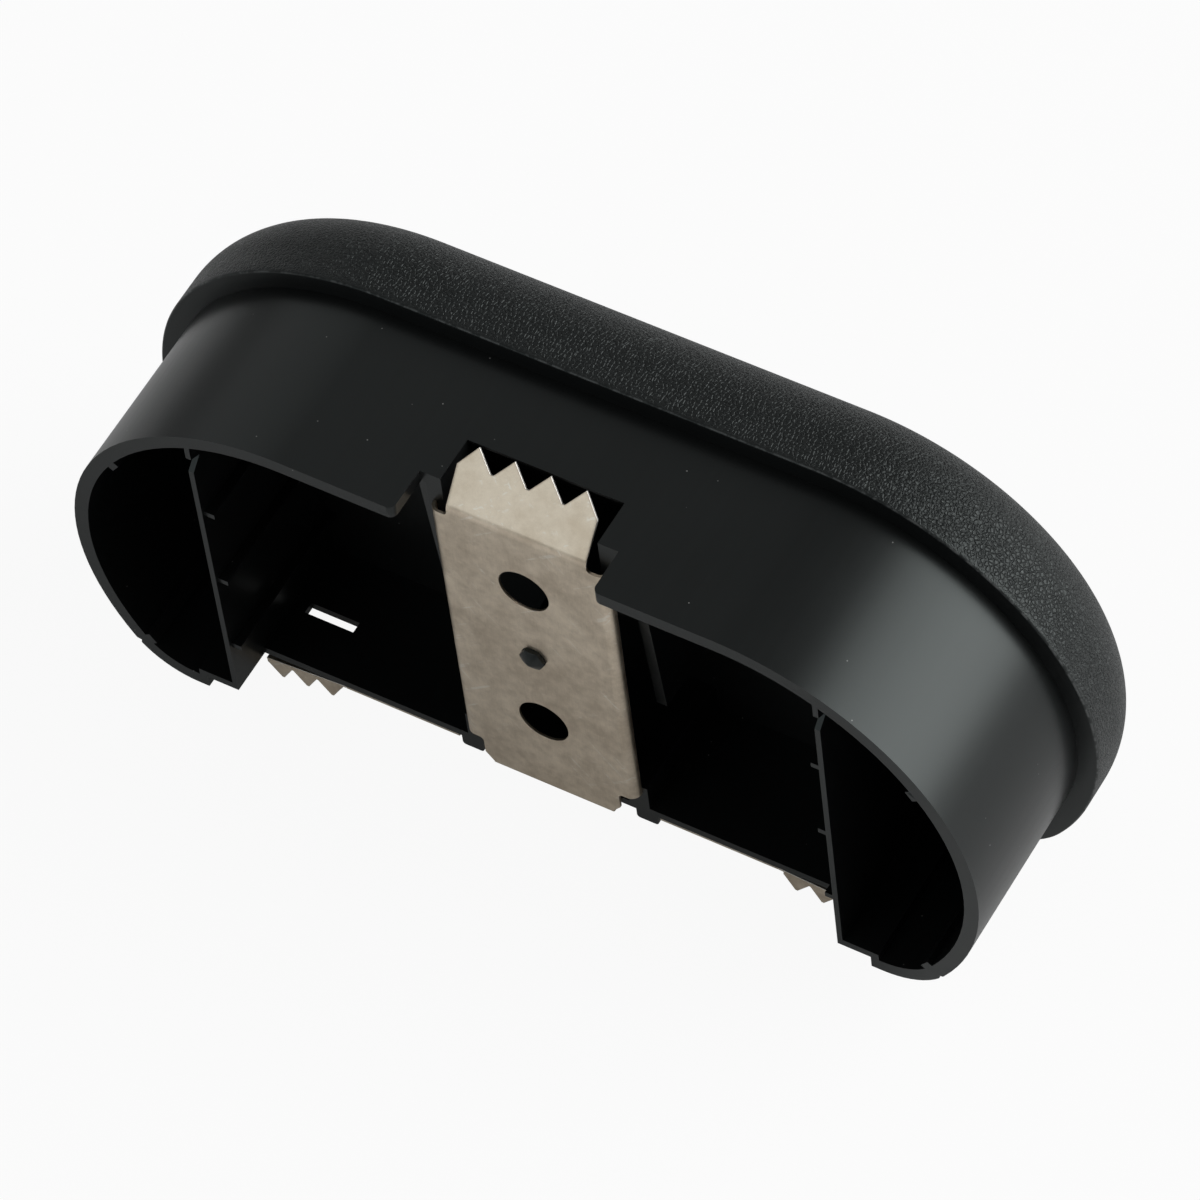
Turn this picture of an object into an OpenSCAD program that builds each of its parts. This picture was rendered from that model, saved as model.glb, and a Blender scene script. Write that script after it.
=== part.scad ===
// Push-in oval trim housing with toothed spring clips.
// A domed trim cap closes the front of a moulded housing that is open at the back.
// A steel cross clip spans the open back, and a leaf clip lies along the bottom wall.
// Their toothed ends bite the edge of the panel opening that the housing is pushed into.
//
// Every sub-part is drawn in one moulding frame and then stood up by stand():
//   x  along the length, zero in the middle
//   y  up the height, zero at the centre of the two round ends
//   z  out of the back, zero on the seat face of the cap and housing_d on the rim

/* [Housing] */
// Length of the housing over its round ends
housing_l = 155; // [145:1:180]
// Radius of the lower corners
corner_r = 13; // [10:1:16]
// Size of the 91-60-109 triangle between the centres of a round end and a lower corner
// It sets the end radius, 109 units more than the corner's, and the height, 169 units more than two corners
triangle_unit = 0.26; // [0.24:0.01:0.28]
// Depth from the seat face of the cap to the rim
housing_d = 31; // [29:1:40]
// Thickness of the outer wall
wall_t = 2.4; // [1.8:0.1:3]
// Thickness of the web that closes the front of the housing
web_t = 2; // [1.5:0.1:3]
// Depth of the drip groove cut in the lower end of each round end
groove_d = 0.6; // [0.3:0.1:0.9]

/* [Bottom wall] */
// Width of the recess that the leaf clip lies in
recess_w = 116; // [112:1:120]
// Depth of the recess
recess_d = 2.4; // [2:0.1:2.6]
// How far the recess runs in from the rim
recess_run = 20; // [18:1:24]
// Thickness of the wall behind the recess
recess_wall_t = 1.4; // [1.2:0.1:1.8]
// How far the bottom wall stops short of the rim between the partitions
cutback = 7.9; // [7.5:0.1:9]
// Length of each slot through the bottom wall
slot_w = 8.7; // [6:0.1:10]
// Width of each slot through the bottom wall
slot_h = 2; // [1.5:0.1:2.4]
// Distance of each slot's middle from the rim
slot_setback = 17.4; // [17:0.1:18.5]
// Width of each nub beside the cross clip
nub_w = 3.8; // [3:0.1:4.2]
// How far each nub stands out of the recess floor
nub_h = 2.1; // [1.5:0.1:2.2]
// Thickness of each nub
nub_t = 1.2; // [1:0.1:1.6]

/* [Partitions] */
// Clear width between the two partitions
chamber_w = 104.8; // [104:0.2:108]
// Thickness of each partition
partition_t = 0.9; // [0.8:0.1:1.6]
// Height of the corner relief at the top of each partition
relief_h = 3.2; // [2.4:0.1:4]
// Depth of the corner relief
relief_d = 2.2; // [1.2:0.1:3]
// Distance from the wall to the relief
relief_gap = 2.4; // [1.6:0.1:3]
// Distance between the three ribs on each partition
rib_pitch = 16.8; // [14:0.2:18]
// Width and height of the small ribs
rib_s = 1; // [0.8:0.1:1.4]
// How far the ribs of the partitions stand out
rib_reach = 1.7; // [1:0.1:2.4]
// How far the middle rib lies below the stud
rib_drop = 5.3; // [4:0.1:7]
// Angle of the end ribs above and below the middle of each round end
end_rib_angle = 35; // [33:1:40]

/* [Top notch] */
// Width of the wide part of the notch
notch_w = 33.4; // [32:0.2:38]
// Depth of the wide part of the notch from the rim
notch_step = 7.9; // [7.5:0.1:9]
// Width of the narrow part of the notch
notch_narrow_w = 26.4; // [25.6:0.2:28]
// Depth of the narrow part of the notch from the rim
notch_d = 15.9; // [15.9:0.1:18]

// Radius of the corners between the notch and the rim
notch_flare_r = 1.2; // [0.6:0.1:2]
// Thickness left at the deep end of the notch
notch_edge = 0.5; // [0.3:0.1:1]

/* [Cross clip] */
// Width of the cross clip
clip_w = 30; // [28.4:0.2:31]
// Thickness of the steel sheet of the cross clip
clip_t = 0.5; // [0.4:0.1:0.6]
// Height of the folded long edges, over the sheet
clip_fold_h = 1.8; // [1.4:0.1:2]
// Radius of the inner corners beside the necks
neck_fillet_r = 0.8; // [0.4:0.1:1.2]
// Outer radius of the folds
clip_fold_r = 1.7; // [1:0.1:1.7]
// Distance between the two shoulders of the cross clip
clip_l = 56.6; // [54:0.2:57]
// Width of the necks beyond the shoulders
neck_w = 23.6; // [22:0.2:24.2]
// Diameter of the two large holes
clip_hole_d = 8.5; // [6:0.1:10]
// Distance between the centres of the two large holes
clip_hole_gap = 33.2; // [30:0.2:36]
// Length of the hook behind the leaf clip
hook_l = 6; // [4:0.5:8]
// How much narrower the hook is than the neck, on each side
hook_corner = 1.4; // [0.6:0.1:2]

/* [Barb arm] */
// Length of the barb arm from its bend to the tips of its teeth
arm_l = 10.6; // [9.8:0.1:10.8]
// Angle between the barb arm and the flat of the cross clip
arm_angle = 39.3; // [35:0.1:42]
// Number of teeth on the barb arm
arm_teeth = 4; // [2:1:4]
// Distance between the teeth of the barb arm
arm_pitch = 6; // [5:0.1:6]
// Depth of the teeth of the barb arm
arm_tooth_d = 3.3; // [2:0.1:4]

/* [Leaf clip] */
// Thickness of the steel sheet of the leaf clip
leaf_t = 0.4; // [0.3:0.1:0.5]
// Width of the leaf clip
leaf_w = 6; // [5:0.1:6.5]
// Distance between the bends of the two tabs
leaf_l = 76; // [74:1:78]
// Number of teeth on each tab
tab_teeth = 3; // [2:1:3]
// Distance between the teeth of each tab
tab_pitch = 4.5; // [3.5:0.1:4.6]
// Depth of the teeth of each tab
tab_tooth_d = 2.8; // [1.5:0.1:3]
// Height of the lip below the teeth
lip_h = 0.7; // [0.4:0.1:1]
// Angle at which each tab stands off the bottom wall
tab_angle = 4.5; // [3:0.1:5]

/* [Post] */
// Diameter of the centre post
post_d = 7; // [6:0.1:8]
// Width of the hexagonal stud on the post, across its corners
stud_d = 4.4; // [3.6:0.1:5]
// How far the stud stands out of the cross clip
stud_h = 1.6; // [1:0.1:2.5]
// Radius of the blunt tip of the stud
stud_tip_r = 0.3; // [0.2:0.1:0.8]

/* [Stiffeners] */
// Thickness of the two stiffening ribs and the bar between them
stiffener_t = 1.8; // [1.2:0.1:2]
// Distance from the edge of the cross clip to the middle of each stiffening rib
stiffener_gap = 2.4; // [1.8:0.1:3]
// How far the stiffening ribs stop short of the rim
stiffener_setback = 9; // [8:0.5:12]
// How far the stiffening ribs run below the stud
stiffener_drop = 9.5; // [6:0.5:12]
// How much lower the ribs are at their foot
stiffener_taper = 3.6; // [2:0.2:5]

/* [Trim cap] */
// How far the cap stands out round the housing
overhang = 3.4; // [3:0.1:5]
// Height of the straight side of the cap
cap_side_h = 5.9; // [4:0.1:9]
// Radius of the rolled edge of the cap
cap_roll_r = 13; // [10:0.5:15]
// Thickness of the cap
cap_t = 2.4; // [1.8:0.1:3]
// Height of the housing's collar inside the cap
collar_h = 4; // [2:0.1:6]
// How deep the foot of the housing sits in the back of the cap
seat_step = 0.6; // [0.4:0.1:1]

/* [Clearances] */
// Gap between the collar of the housing and the socket of the cap
socket_gap = 0.1; // [0.05:0.05:0.2]
// Gap round a bend that works as a hinge
hinge_gap = 0.06; // [0.05:0.01:0.1]
// Gap between stacked steel and plastic faces
seat_gap = 0.05; // [0.02:0.01:0.1]

/* [Hidden] */
$fn = 96;
eps = 0.01;

// Outline of the housing: round ends, flat top and bottom, rounded lower corners
unit = round(triangle_unit * 1000) / 1000;
end_r = corner_r + 109 * unit;
end_x = housing_l / 2 - end_r;
corner_y = -60 * unit;
corner_reach = 91 * unit;
bottom_y = corner_y - corner_r;
corner_x = end_x + corner_reach;
far = 3; // how many times the reach the cutting wedges run
end_wedge = [[0, 0], [0, far * end_r], [far * end_r, far * end_r],
             [far * corner_reach, far * corner_y]];
corner_wedge = [[0, 0], [far * corner_reach, far * corner_y],
                [far * end_r, -far * end_r], [0, -far * end_r]];
inner_top_y = end_r - wall_t;

// Bottom wall between and beside the partitions
recess_y = bottom_y + recess_d;
recess_inner_y = recess_y + recess_wall_t;
cut_z = housing_d - cutback;
half_chamber = chamber_w / 2;
partition_out = half_chamber + partition_t - end_x;
partition_top_y = sqrt(pow(end_r - wall_t, 2) - partition_out * partition_out);

// Cross clip: its outer face lies clip_face below the rim
clip_face = notch_step - clip_fold_h;
clip_z = housing_d - clip_face;
clip_mid_z = clip_z - clip_t / 2;
clip_y = (inner_top_y + recess_inner_y) / 2;
shoulder_top_y = clip_y + clip_l / 2;
shoulder_low_y = clip_y - clip_l / 2;
bend_relief = 1.8;
arm_hinge_y = shoulder_top_y + bend_relief;
hook_y = recess_y - seat_gap - leaf_t - seat_gap;
hook_bend_r = 0.3;
hook_w = neck_w - 2 * hook_corner;

// Leaf clip and its tabs
leaf_y = recess_y - seat_gap - leaf_t / 2;
leaf_z = cut_z;
tab_hinge_x = leaf_l / 2;
tab_l = tab_teeth * tab_pitch + 0.8;
nub_x = neck_w / 2 + nub_w / 2 + 1.6;
leaf_relief_w = 2 * nub_x + nub_w + 0.8;

// Cap
roll_r = min(cap_roll_r, corner_r + overhang - 1);
cap_h = cap_side_h + roll_r;
collar_r = -bottom_y - wall_t;
floor_r = overhang - bottom_y - roll_r;
shelf_d = cap_side_h + sqrt(pow(roll_r - cap_t, 2) - pow(roll_r - overhang - wall_t, 2));
cap_bottom_y = bottom_y - overhang;
total_d = housing_d + cap_h;

// Stands a part up on its bottom edge: length on X, depth on Y, height on Z
module stand() {
    translate([0, cap_h - total_d / 2, -cap_bottom_y])
        rotate([90, 0, 180])
            children();
}

// Box given by its lowest and highest corners
module block(low, high) {
    translate(low)
        cube(high - low);
}

// Flat outline of the housing, grown by off
// The round ends and the lower corners meet on the line through their centres
module outline(off) {
    polygon([[-end_x, end_r + off], [end_x, end_r + off], [end_x, 0],
             [corner_x, corner_y], [corner_x, bottom_y - off],
             [-corner_x, bottom_y - off], [-corner_x, corner_y], [-end_x, 0]]);
    for (side = [-1, 1])
        scale([side, 1]) {
            translate([end_x, 0])
                intersection() {
                    circle(r = end_r + off);
                    polygon(end_wedge);
                }
            translate([corner_x, corner_y])
                intersection() {
                    circle(r = corner_r + off);
                    polygon(corner_wedge);
                }
        }
}

// Half section of the cap: straight side and rolled edge, reach wide
module cap_section(reach) {
    translate([0, -cap_h])
        square([reach - roll_r, cap_h]);
    translate([0, -cap_side_h])
        square([reach, cap_side_h]);
    intersection() {
        translate([reach - roll_r, -cap_side_h])
            circle(r = roll_r);
        translate([0, -cap_h])
            square([reach, cap_h]);
    }
}

// Solid of the cap: its section swept along and round the outline
module cap_solid() {
    end_reach = end_r + overhang;
    lower_reach = corner_r + overhang;
    lap = (lower_reach - roll_r) / 2;
    // Along the top wall
    translate([-end_x, 0, 0])
        rotate([90, 0, 90])
            linear_extrude(height = 2 * end_x)
                cap_section(end_reach);
    // Along the bottom wall
    translate([corner_x, corner_y, 0])
        rotate([90, 0, -90])
            linear_extrude(height = 2 * corner_x)
                cap_section(lower_reach);
    // Round the ends and the lower corners
    for (side = [0, 1])
        mirror([side, 0, 0]) {
            translate([end_x, 0, 0])
                swept_corner(end_reach, end_wedge);
            translate([corner_x, corner_y, 0])
                swept_corner(lower_reach, corner_wedge);
        }
    // Core between the four swept edges
    translate([0, 0, -cap_h])
        linear_extrude(height = cap_h)
            polygon([[-end_x - lap, end_r / 2], [end_x + lap, end_r / 2],
                     [corner_x + lap, corner_y + lap], [corner_x + lap, corner_y - lap],
                     [-corner_x - lap, corner_y - lap], [-corner_x - lap, corner_y + lap]]);
}

// Section of the cap turned round its centre, cut to a wedge
module swept_corner(reach, wedge) {
    intersection() {
        rotate_extrude()
            cap_section(reach);
        translate([0, 0, -cap_h - 1])
            linear_extrude(height = cap_h + 2)
                polygon(wedge);
    }
}

// Slot shape on the two end centres, r wide on each side
module slot_shape(r) {
    translate([-end_x, -r])
        square([2 * end_x, 2 * r]);
    for (side = [-1, 1])
        translate([side * end_x, 0])
            circle(r = r);
}

// Domed cap: a shell whose back is a flat ring that seats on the panel
module trim_cap() {
    color([0.1, 0.1, 0.105])
        stand()
            difference() {
                cap_solid();
                translate([0, 0, -seat_step])
                    linear_extrude(height = seat_step + 1)
                        outline(socket_gap);
                translate([0, 0, -shelf_d])
                    linear_extrude(height = shelf_d + 1)
                        slot_shape(collar_r + socket_gap);
                translate([0, 0, -cap_h + cap_t])
                    linear_extrude(height = cap_h)
                        slot_shape(floor_r);
            }
}

// Small rib along the depth, on the inside of a round end
module end_rib(angle) {
    rotate([0, 0, angle])
        block([end_r - wall_t - rib_s, -rib_s, 0], [end_r - wall_t / 2, rib_s, housing_d]);
}

// Partition with its corner relief and three ribs towards the middle chamber
module partition() {
    difference() {
        block([half_chamber, recess_y, 0],
              [half_chamber + partition_t, partition_top_y + wall_t / 2, housing_d]);
        translate([half_chamber - 1, partition_top_y - relief_gap - relief_h, housing_d])
            rotate([0, 90, 0])
                linear_extrude(height = partition_t + 2)
                    polygon([[-1, -1], [0, 0], [relief_d, 0.65 * relief_h],
                             [0, relief_h], [-1, relief_h]]);
    }
    for (i = [-1, 0, 1])
        translate([0, clip_y - rib_drop + i * rib_pitch, 0])
            block([half_chamber - rib_reach, -rib_s / 2, 0],
                  [half_chamber + eps, rib_s / 2, housing_d - 0.6]);
}

// Posts whose ends carry the folded edges of the cross clip
module clip_ledges() {
    ledge_z = housing_d - notch_step;
    ledge_in = neck_w / 2 + 0.5;
    ledge_out = notch_w / 2 - 0.8;
    for (side = [0, 1])
        mirror([side, 0, 0]) {
            block([ledge_in, shoulder_top_y - 1.6, 0],
                  [ledge_out, inner_top_y + wall_t / 2, ledge_z]);
            block([ledge_in, recess_inner_y - eps, 0],
                  [ledge_out, shoulder_low_y + 1.6, ledge_z]);
        }
}

// Tapered stiffening ribs beside the cross clip, and the bar between them
module stiffeners() {
    rib_t = stiffener_t;
    bar_t = 1.4;
    rib_x = clip_w / 2 + stiffener_gap;
    rib_z = housing_d - stiffener_setback;
    foot_y = clip_y - stiffener_drop;
    bar_y = clip_y + (post_d + clip_hole_gap) / 4;
    for (side = [-1, 1])
        translate([side * rib_x + rib_t / 2, 0, 0])
            rotate([0, -90, 0])
                linear_extrude(height = rib_t)
                    polygon([[0, inner_top_y + wall_t / 2], [rib_z, inner_top_y + wall_t / 2],
                             [rib_z - stiffener_taper, foot_y], [0, foot_y]]);
    block([-rib_x, bar_y, 0], [rib_x, bar_y + bar_t, rib_z - stiffener_taper]);
}

// Centre post with the stud that holds the cross clip, six-sided with a low point
module centre_post() {
    translate([0, clip_y, 0]) {
        cylinder(d = post_d, h = clip_z - clip_t);
        cylinder(d = stud_d - 0.4, h = clip_z + eps);
        translate([0, 0, clip_z])
            intersection() {
                cylinder(d = stud_d, h = stud_h, $fn = 6);
                cylinder(r1 = stud_d * 0.72, r2 = stud_tip_r, h = stud_h);
            }
    }
}

// Nub with round ends that hooks over the edge of the leaf clip
module nub() {
    low_y = recess_y - nub_h;
    round_r = nub_t / 2;
    translate([0, 0, cut_z - nub_t]) {
        block([-nub_w / 2, low_y + round_r, 0], [nub_w / 2, recess_inner_y, nub_t]);
        block([-nub_w / 2 + round_r, low_y, 0], [nub_w / 2 - round_r, recess_y, nub_t]);
        for (end = [-1, 1])
            translate([end * (nub_w / 2 - round_r), low_y + round_r, 0])
                cylinder(r = round_r, h = nub_t);
    }
}

// Moulded housing, open at the back
module housing() {
    color([0.045, 0.047, 0.05])
        stand()
            difference() {
                union() {
                    housing_walls();
                    inner_walls();
                    for (side = [0, 1])
                        mirror([side, 0, 0]) {
                            partition();
                            translate([nub_x, 0, 0])
                                nub();
                            for (sign = [-1, 1])
                                translate([end_x, 0, 0])
                                    end_rib(sign * end_rib_angle);
                        }
                    clip_ledges();
                    stiffeners();
                    centre_post();
                    leaf_stops();
                }
                housing_cuts();
            }
}

// Outer wall with its recess, the web and the collar in the cap's socket
module housing_walls() {
    difference() {
        translate([0, 0, -seat_step])
            linear_extrude(height = housing_d + seat_step)
                outline(0);
        translate([0, 0, web_t])
            linear_extrude(height = housing_d)
                outline(-wall_t);
        block([-recess_w / 2, bottom_y - 1, housing_d - recess_run],
              [recess_w / 2, recess_y, housing_d + 1]);
    }
    translate([0, 0, -collar_h])
        linear_extrude(height = collar_h + web_t / 2)
            difference() {
                slot_shape(collar_r);
                slot_shape(collar_r - wall_t);
            }
}

// Thin wall behind the recess
module inner_walls() {
    reach = recess_w / 2 + recess_wall_t;
    block([-reach, recess_y, 0], [reach, recess_inner_y, housing_d]);
    for (side = [-1, 1])
        translate([side * (recess_w / 2 + recess_wall_t / 2), 0, 0])
            block([-recess_wall_t / 2, bottom_y + wall_t / 2, 0],
                  [recess_wall_t / 2, recess_inner_y, housing_d]);
}

// Pads that stop the leaf clip from sliding in
module leaf_stops() {
    for (side = [-1, 1])
        translate([side * leaf_l / 4, 0, 0])
            block([-2, bottom_y + 0.8, leaf_z - leaf_w - 1.6],
                  [2, recess_y + eps, leaf_z - leaf_w - seat_gap]);
}

// Outline of the top notch, flared with a radius where it meets the rim
module notch_profile() {
    translate([-notch_narrow_w / 2, housing_d - notch_d])
        square([notch_narrow_w, notch_d + 1]);
    translate([-notch_w / 2, housing_d - notch_step])
        square([notch_w, notch_step + 1]);
    for (side = [-1, 1])
        scale([side, 1])
            translate([notch_w / 2 - eps, housing_d - notch_flare_r])
                difference() {
                    square([notch_flare_r + eps, notch_flare_r + 1]);
                    translate([notch_flare_r + eps, 0])
                        circle(r = notch_flare_r);
                }
}

// Everything cut out of the finished housing
module housing_cuts() {
    // Bottom wall cut back between the partitions
    block([-half_chamber, bottom_y - 1, cut_z],
          [half_chamber, recess_inner_y + eps, housing_d + 1]);
    // Stepped notch for the barb arm in the top wall, with its end relieved on the inside
    translate([0, end_r + 1, 0])
        rotate([90, 0, 0])
            linear_extrude(height = end_r + 3 - shoulder_top_y)
                notch_profile();
    translate([-notch_narrow_w / 2, 0, 0])
        rotate([90, 0, 90])
            linear_extrude(height = notch_narrow_w)
                polygon([[end_r - notch_edge, housing_d - notch_d],
                         [end_r - notch_edge, housing_d - notch_step],
                         [inner_top_y - 1, housing_d - notch_step],
                         [inner_top_y - 1, housing_d - notch_d - wall_t]]);
    // Slots through the bottom wall and grooves in the round ends
    for (side = [0, 1])
        mirror([side, 0, 0]) {
            translate([leaf_l / 2 + tab_l / 2 + 0.6, 0, housing_d - slot_setback])
                block([-slot_w / 2, bottom_y - 1, -slot_h / 2],
                      [slot_w / 2, recess_inner_y + 1, slot_h / 2]);
            translate([end_x, 0, web_t])
                rotate([0, 0, -end_rib_angle])
                    linear_extrude(height = housing_d)
                        polygon([[end_r - groove_d, 0], [end_r + 1, -1.6], [end_r + 1, 1.6]]);
        }
}

// Section of the cross clip: a shallow channel with rounded folds
module channel_section() {
    flat = clip_w / 2 - clip_fold_r;
    translate([-flat, clip_z - clip_t])
        square([2 * flat, clip_t]);
    for (side = [-1, 1])
        scale([side, 1]) {
            translate([flat, clip_z - clip_fold_r])
                intersection() {
                    difference() {
                        circle(r = clip_fold_r);
                        circle(r = clip_fold_r - clip_t);
                    }
                    square(2 * clip_fold_r);
                }
            translate([clip_w / 2 - clip_t, clip_z - clip_fold_h])
                square([clip_t, clip_fold_h - clip_fold_r]);
        }
}

// Flat necks beyond the two ends of the channel
module neck_blank() {
    translate([-neck_w / 2, shoulder_top_y - 1])
        square([neck_w, 1 + bend_relief - clip_t / 2]);
    polygon([[-neck_w / 2, shoulder_low_y + 1], [neck_w / 2, shoulder_low_y + 1],
             [neck_w / 2, hook_y + hook_corner + 0.6], [hook_w / 2, hook_y + hook_bend_r],
             [-hook_w / 2, hook_y + hook_bend_r], [-neck_w / 2, hook_y + hook_corner + 0.6]]);
    // Rounded inner corners between the necks and the shoulders
    for (side = [-1, 1], end = [-1, 1])
        translate([0, clip_y])
            scale([side, end])
                translate([neck_w / 2 - eps, clip_l / 2 - eps])
                    difference() {
                        square(neck_fillet_r + eps);
                        translate([neck_fillet_r + eps, neck_fillet_r + eps])
                            circle(r = neck_fillet_r);
                    }
}

// Cross clip: plate with folded long edges, two holes and the hook
module cross_clip() {
    fold_z = clip_z - clip_fold_h;
    color([0.62, 0.6, 0.56])
        stand()
            difference() {
                union() {
                    translate([0, shoulder_top_y, 0])
                        rotate([90, 0, 0])
                            linear_extrude(height = clip_l)
                                channel_section();
                    translate([0, 0, clip_z - clip_t])
                        linear_extrude(height = clip_t)
                            neck_blank();
                    hook();
                }
                for (side = [-1, 1])
                    translate([0, clip_y + side * clip_hole_gap / 2, fold_z])
                        cylinder(d = clip_hole_d, h = clip_fold_h + 1);
                translate([0, clip_y, fold_z])
                    cylinder(d = stud_d - 0.4 + 2 * seat_gap, h = clip_fold_h + 1);
                translate([-neck_w / 2 - 1, arm_hinge_y, clip_mid_z])
                    rotate([0, 90, 0])
                        cylinder(r = clip_t / 2 + hinge_gap, h = neck_w + 2);
            }
}

// Bend and tab that hold the leaf clip against the bottom wall
module hook() {
    bend_y = hook_y + hook_bend_r;
    bend_z = clip_z - clip_t - hook_bend_r;
    translate([-hook_w / 2, bend_y, bend_z])
        rotate([90, 0, 90])
            linear_extrude(height = hook_w)
                intersection() {
                    difference() {
                        circle(r = hook_bend_r + clip_t);
                        circle(r = hook_bend_r);
                    }
                    translate([-2 * hook_bend_r - clip_t, 0])
                        square([2 * hook_bend_r + clip_t, 2 * hook_bend_r + clip_t]);
                }
    block([-hook_w / 2, hook_y - clip_t, bend_z - hook_l], [hook_w / 2, hook_y, bend_z]);
}

// Flat pattern of the barb arm: a straight tab with teeth cut in its end
module arm_blank() {
    half = neck_w / 2;
    first = -(arm_teeth - 1) / 2 * arm_pitch;
    shoulder = arm_l - arm_tooth_d;
    flank = arm_pitch / 2 - 0.2;
    difference() {
        polygon([[-half, 0], [half, 0], [half, shoulder - 0.3],
                 [-first, arm_l], [first, arm_l], [-half, shoulder - 0.3]]);
        for (i = [0 : arm_teeth - 2])
            translate([first + (i + 0.5) * arm_pitch, shoulder])
                polygon([[-0.25, 0], [0.25, 0], [flank + 0.25, arm_tooth_d + 0.4],
                         [-flank - 0.25, arm_tooth_d + 0.4]]);
    }
}

// Toothed arm that flexes at its bend beyond the top shoulders
module top_barb_arm() {
    color([0.7, 0.68, 0.64])
        stand()
            translate([0, arm_hinge_y, clip_mid_z])
                rotate([-arm_angle, 0, 0]) {
                    translate([0, 0, -clip_t / 2])
                        linear_extrude(height = clip_t)
                            arm_blank();
                    translate([-neck_w / 2, 0, 0])
                        rotate([0, 90, 0])
                            cylinder(d = clip_t, h = neck_w);
                }
}

// Leaf clip: flat spring along the bottom wall, relieved round the nubs
module leaf_clip() {
    low_z = leaf_z - leaf_w;
    color([0.7, 0.68, 0.64])
        stand()
            difference() {
                block([-tab_hinge_x + leaf_t / 2, leaf_y - leaf_t / 2, low_z],
                      [tab_hinge_x - leaf_t / 2, leaf_y + leaf_t / 2, leaf_z]);
                block([-leaf_relief_w / 2, leaf_y - 1, leaf_z - nub_t - seat_gap],
                      [leaf_relief_w / 2, leaf_y + 1, leaf_z + 1]);
                for (side = [-1, 1])
                    translate([side * tab_hinge_x, leaf_y, low_z - 1])
                        cylinder(r = leaf_t / 2 + hinge_gap, h = leaf_w + 2);
            }
}

// Tab of the leaf clip, with a toothed lip turned out along its back edge
module barb_tab() {
    low_z = leaf_z - leaf_w;
    lip_x = tab_l - tab_teeth * tab_pitch;
    translate([tab_hinge_x, leaf_y, 0])
        rotate([0, 0, -tab_angle]) {
            block([0, -leaf_t / 2, low_z], [tab_l, leaf_t / 2, leaf_z]);
            translate([0, 0, low_z])
                cylinder(d = leaf_t, h = leaf_w);
            translate([lip_x, 0, leaf_z - leaf_t])
                linear_extrude(height = leaf_t)
                    lip_blank();
        }
}

// Flat pattern of the toothed lip
module lip_blank() {
    root_y = -leaf_t / 2 - lip_h;
    translate([0, root_y])
        square([tab_teeth * tab_pitch, lip_h + leaf_t / 2]);
    for (i = [0 : tab_teeth - 1])
        translate([(i + 0.5) * tab_pitch, root_y])
            polygon([[-tab_pitch / 2 + 0.1, eps], [tab_pitch / 2 - 0.1, eps],
                     [0.2, -tab_tooth_d], [-0.2, -tab_tooth_d]]);
}

module left_barb_tab() {
    color([0.7, 0.68, 0.64])
        stand()
            barb_tab();
}

module right_barb_tab() {
    color([0.7, 0.68, 0.64])
        stand()
            mirror([1, 0, 0])
                barb_tab();
}

trim_cap();
housing();
cross_clip();
top_barb_arm();
leaf_clip();
left_barb_tab();
right_barb_tab();
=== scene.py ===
"""Looks of a clip-in trim housing: leather-grained cap, satin moulding and mill-finish spring clips."""

import logging
import math
from dataclasses import dataclass, field
from enum import Enum
from typing import Any

import bmesh
import bpy
import numpy as np
from mathutils import Matrix, Vector


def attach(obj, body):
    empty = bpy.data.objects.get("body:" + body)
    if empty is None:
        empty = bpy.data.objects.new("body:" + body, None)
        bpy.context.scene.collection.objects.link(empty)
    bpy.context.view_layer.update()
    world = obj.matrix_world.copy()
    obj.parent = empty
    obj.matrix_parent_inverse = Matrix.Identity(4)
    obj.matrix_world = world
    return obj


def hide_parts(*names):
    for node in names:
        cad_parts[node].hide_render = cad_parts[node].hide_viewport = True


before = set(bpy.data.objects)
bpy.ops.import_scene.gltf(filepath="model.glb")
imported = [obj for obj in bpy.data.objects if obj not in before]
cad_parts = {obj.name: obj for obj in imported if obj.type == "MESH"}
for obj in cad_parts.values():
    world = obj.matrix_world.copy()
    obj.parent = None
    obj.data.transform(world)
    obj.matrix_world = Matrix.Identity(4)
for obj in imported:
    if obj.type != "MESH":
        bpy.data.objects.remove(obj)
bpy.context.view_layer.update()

logging.basicConfig(level=logging.INFO, format="%(message)s")
log = logging.getLogger("trim_housing")

MM = 0.001
Pair = tuple[float, float]
Triple = tuple[float, float, float]
Rgb = Triple
COOL_GLOSS: Rgb = (0.90, 1.0, 0.98)
WHITE: Rgb = (1.0, 1.0, 1.0)
SHARP_ANGLE = math.radians(32)
CUT_ANGLE = math.radians(40)
FLAT_ANGLE = math.radians(0.5)
WELD = 0.001 * MM


class Body(Enum):
    """The rigid bodies that pieces ride on."""

    HOUSING = "housing_body"
    TOP_ARM = "top_arm"
    LEFT_TAB = "left_tab"
    RIGHT_TAB = "right_tab"


# ---------------------------------------------------------------- shader maths


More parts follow.
